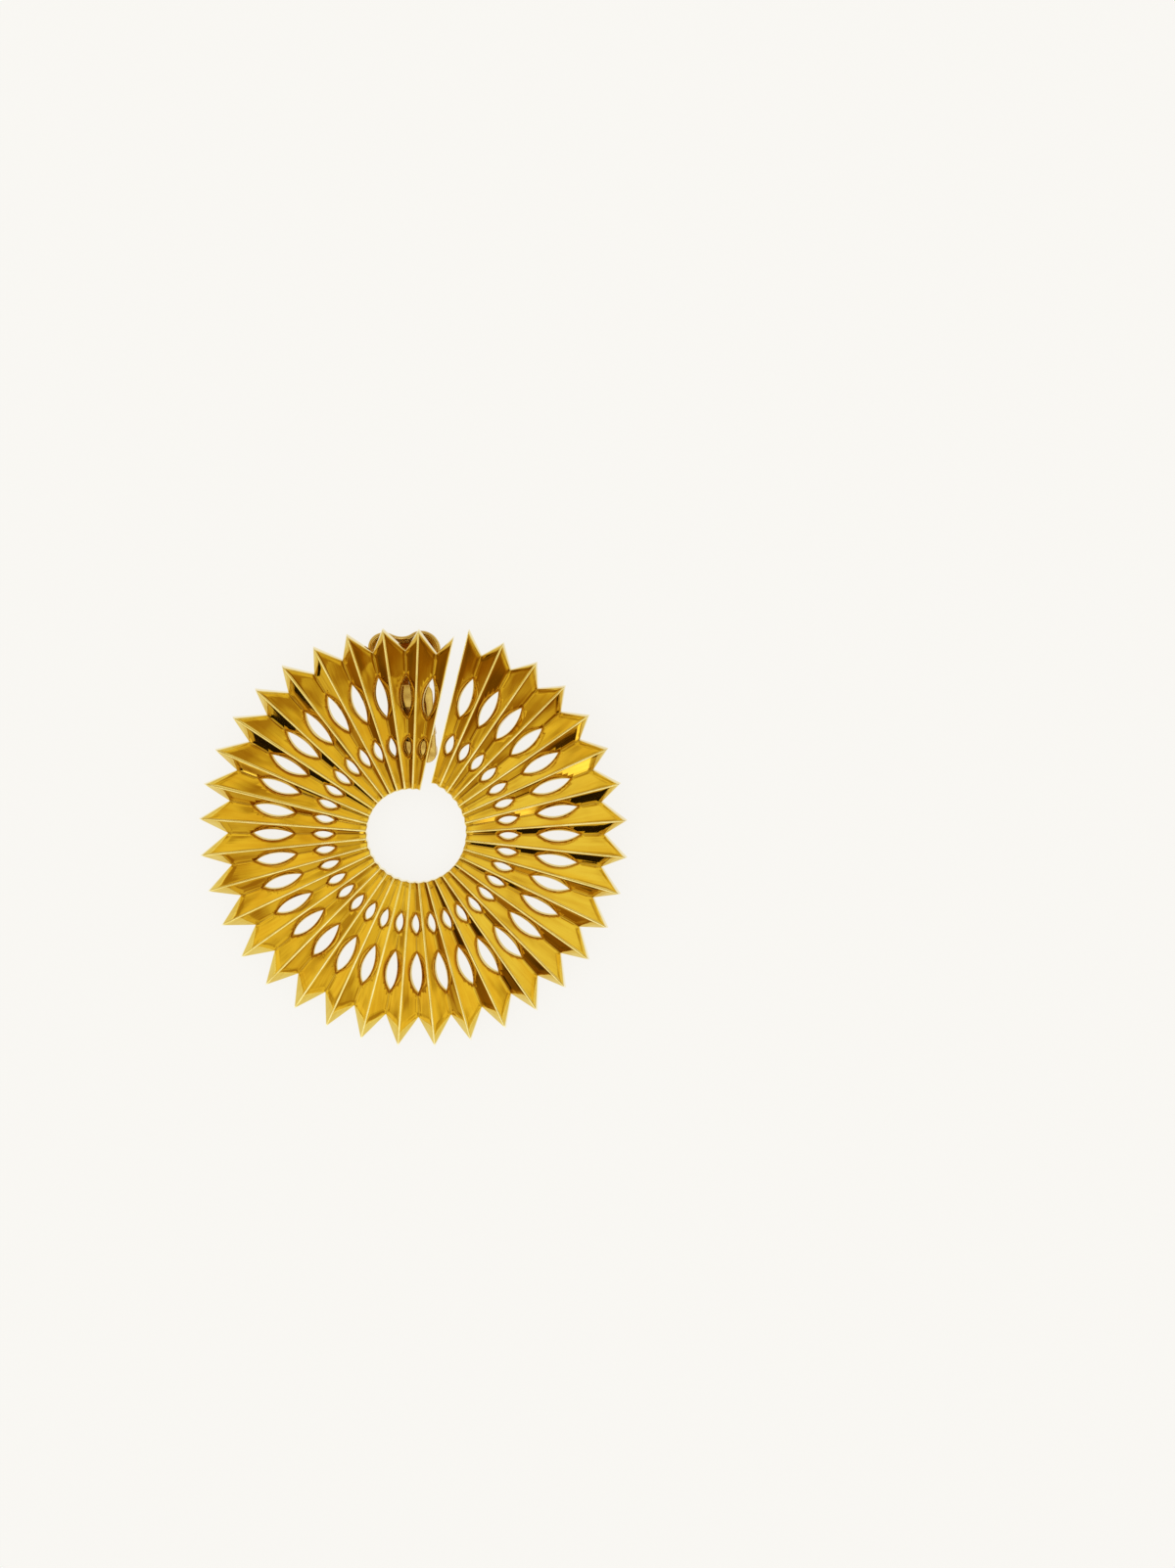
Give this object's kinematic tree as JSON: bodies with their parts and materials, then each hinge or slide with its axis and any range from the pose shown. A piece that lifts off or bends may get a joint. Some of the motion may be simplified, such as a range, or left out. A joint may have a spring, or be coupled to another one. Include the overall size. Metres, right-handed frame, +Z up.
{
  "type": "clip-on fan earring",
  "caption": "Pleated metal fan earring, opened to a pierced round rosette, with a hinged two-lobed ear clip on its back.",
  "frame": {"origin": "on the surface that the earring lies on, under the middle of its box", "axes": "+Z up, as the earring lies face up on its back; +Y towards its top as worn, where the clip and the split are; +X to the right as its face is seen"},
  "size_m": [0.065, 0.064, 0.0089],
  "materials": {
    "polished_gold": "mirror polished, gold plated",
    "pin_gold": "polished, gold plated",
    "clip_gold": "polished, gold plated"
  },
  "bodies": {
    "fan": {"pleated_fan": "polished_gold", "hinge_pin": "pin_gold"},
    "paddle": {"clip_paddle": "clip_gold"}
  },
  "joints": [
    {"name": "clip_hinge", "type": "hinge", "parent": "fan", "child": "paddle", "pos_m": [0.00004, 0.01285, 0.00118], "axis": [-0.9976, -0.0696, 0], "range_deg": [0, 75]}
  ]
}
